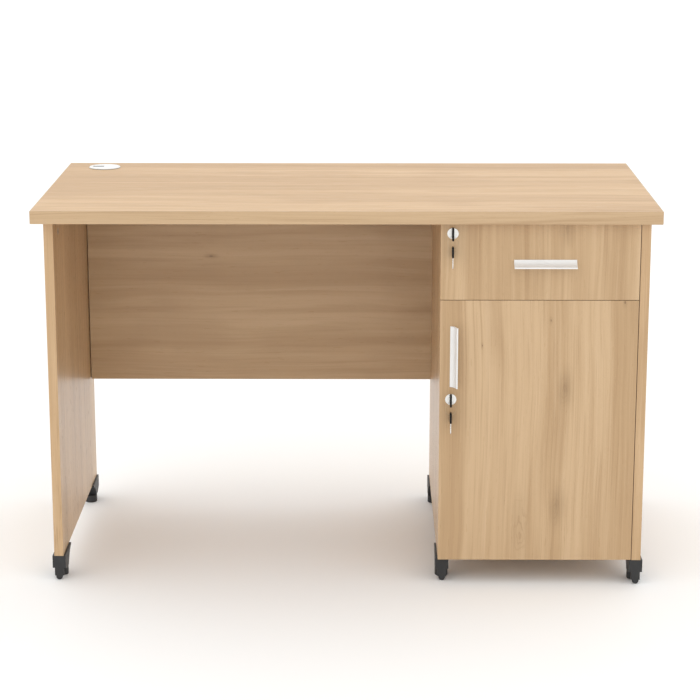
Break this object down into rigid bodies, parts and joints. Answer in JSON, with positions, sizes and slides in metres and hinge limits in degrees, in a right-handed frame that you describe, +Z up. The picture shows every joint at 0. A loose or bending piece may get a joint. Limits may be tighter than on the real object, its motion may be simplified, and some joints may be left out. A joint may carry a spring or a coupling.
{
  "type": "teacher desk",
  "caption": "Wood-effect teacher's desk with a kneehole, modesty panel, lockable drawer over a lockable cupboard, black feet and a cable grommet.",
  "frame": {"origin": "on the floor under the middle of the worktop", "axes": "+X to the right along the worktop as the user sits, +Y from the user to the back, +Z up"},
  "size_m": [1.2, 0.6, 0.7527],
  "materials": {
    "worktop_laminate": "matt beech laminate",
    "edge_band": "matt beech edging",
    "board_laminate": "matt beech laminate",
    "front_laminate": "matt beech laminate",
    "drawer_board": "pale foil-wrapped board",
    "satin_aluminium": "satin anodised",
    "nickel_plated_steel": "bright plated",
    "zinc_plated_steel": "zinc plated",
    "bearing_steel": "polished steel",
    "spring_wire": "dull brassed spring wire",
    "black_moulding": "moulded, fine texture",
    "black_key_plastic": "moulded",
    "white_plastic": "satin moulding"
  },
  "bodies": {
    "desk": {"worktop": "worktop_laminate", "worktop_edge_banding": "edge_band", "left_end_panel": "board_laminate", "right_end_panel": "board_laminate", "pedestal_divider": "board_laminate", "modesty_panel": "board_laminate", "pedestal_bottom": "board_laminate", "pedestal_mid_panel": "board_laminate", "pedestal_back": "board_laminate", "cupboard_shelf": "board_laminate", "shelf_pins": "zinc_plated_steel", "shoe_screws": "zinc_plated_steel", "grommet_ring": "white_plastic", "slide_outer_left": "zinc_plated_steel", "slide_outer_right": "zinc_plated_steel", "lock_strike": "zinc_plated_steel", "hinge_arms": "nickel_plated_steel", "cam_fittings": "zinc_plated_steel", "foot_shoe_left_front": "black_moulding", "foot_shoe_left_rear": "black_moulding", "foot_shoe_middle_front": "black_moulding", "foot_shoe_middle_rear": "black_moulding", "foot_shoe_right_front": "black_moulding", "foot_shoe_right_rear": "black_moulding"},
    "grommet_lid": {"grommet_cap": "white_plastic"},
    "slide_carriage": {"slide_middle_left": "zinc_plated_steel", "slide_middle_right": "zinc_plated_steel", "slide_balls": "bearing_steel"},
    "drawer_box": {"slide_inner_left": "zinc_plated_steel", "slide_inner_right": "zinc_plated_steel", "drawer_front": "front_laminate", "drawer_side_left": "drawer_board", "drawer_side_right": "drawer_board", "drawer_back": "drawer_board", "drawer_bottom": "drawer_board", "drawer_handle": "satin_aluminium", "drawer_handle_screws": "zinc_plated_steel", "drawer_lock_body": "nickel_plated_steel"},
    "drawer_lock_cylinder": {"drawer_lock_plug": "nickel_plated_steel", "drawer_lock_cam": "zinc_plated_steel", "drawer_key": "black_key_plastic"},
    "drawer_spare": {"drawer_key_ring": "spring_wire", "drawer_spare_key": "black_key_plastic"},
    "cupboard_door": {"door": "front_laminate", "door_handle": "satin_aluminium", "door_handle_screws": "zinc_plated_steel", "door_lock_body": "nickel_plated_steel", "hinge_cups": "nickel_plated_steel", "hinge_pins": "bearing_steel"},
    "door_lock_cylinder": {"door_lock_plug": "nickel_plated_steel", "door_lock_cam": "zinc_plated_steel", "door_key": "black_key_plastic"},
    "door_spare": {"door_key_ring": "spring_wire", "door_spare_key": "black_key_plastic"},
    "left_front_glide": {"glide_left_front": "black_moulding"},
    "left_rear_glide": {"glide_left_rear": "black_moulding"},
    "middle_front_glide": {"glide_middle_front": "black_moulding"},
    "middle_rear_glide": {"glide_middle_rear": "black_moulding"},
    "right_front_glide": {"glide_right_front": "black_moulding"},
    "right_rear_glide": {"glide_right_rear": "black_moulding"}
  },
  "joints": [
    {"name": "drawer_slide", "type": "slide", "parent": "desk", "child": "drawer_box", "axis": [0, -1, 0], "range_m": [0, 0.45]},
    {"name": "carriage_slide", "type": "slide", "parent": "desk", "child": "slide_carriage", "axis": [0, -1, 0], "range_m": [0, 0.225]},
    {"name": "door_hinge", "type": "hinge", "parent": "desk", "child": "cupboard_door", "pos_m": [0.5417, -0.2735, 0.3121], "axis": [0, 0, 1], "range_deg": [0, 95]},
    {"name": "drawer_lock_turn", "type": "hinge", "parent": "drawer_box", "child": "drawer_lock_cylinder", "pos_m": [0.2027, -0.265, 0.7047], "axis": [0, -1, 0], "range_deg": [0, 90]},
    {"name": "door_lock_turn", "type": "hinge", "parent": "cupboard_door", "child": "door_lock_cylinder", "pos_m": [0.202, -0.265, 0.378], "axis": [0, 1, 0], "range_deg": [0, 90]},
    {"name": "drawer_spare_swing", "type": "hinge", "parent": "drawer_lock_cylinder", "child": "drawer_spare", "pos_m": [0.2027, -0.291, 0.6978], "axis": [-1, 0, 0], "range_deg": [0, 80]},
    {"name": "door_spare_swing", "type": "hinge", "parent": "door_lock_cylinder", "child": "door_spare", "pos_m": [0.202, -0.291, 0.3711], "axis": [-1, 0, 0], "range_deg": [0, 80]},
    {"name": "grommet_turn", "type": "hinge", "parent": "desk", "child": "grommet_lid", "pos_m": [-0.519, 0.236, 0.7517], "axis": [0, 0, 1], "continuous": true},
    {"name": "left_front_glide_turn", "type": "hinge", "parent": "desk", "child": "left_front_glide", "pos_m": [-0.571, -0.2235, 0], "axis": [0, 0, 1], "continuous": true},
    {"name": "left_rear_glide_turn", "type": "hinge", "parent": "desk", "child": "left_rear_glide", "pos_m": [-0.571, 0.252, 0], "axis": [0, 0, 1], "continuous": true},
    {"name": "middle_front_glide_turn", "type": "hinge", "parent": "desk", "child": "middle_front_glide", "pos_m": [0.189, -0.2235, 0], "axis": [0, 0, 1], "continuous": true},
    {"name": "middle_rear_glide_turn", "type": "hinge", "parent": "desk", "child": "middle_rear_glide", "pos_m": [0.189, 0.252, 0], "axis": [0, 0, 1], "continuous": true},
    {"name": "right_front_glide_turn", "type": "hinge", "parent": "desk", "child": "right_front_glide", "pos_m": [0.571, -0.242, 0], "axis": [0, 0, 1], "continuous": true},
    {"name": "right_rear_glide_turn", "type": "hinge", "parent": "desk", "child": "right_rear_glide", "pos_m": [0.571, 0.252, 0], "axis": [0, 0, 1], "continuous": true}
  ],
  "couplings": [
    {"joint": "carriage_slide", "follows": "drawer_slide", "ratio": 0.5}
  ]
}
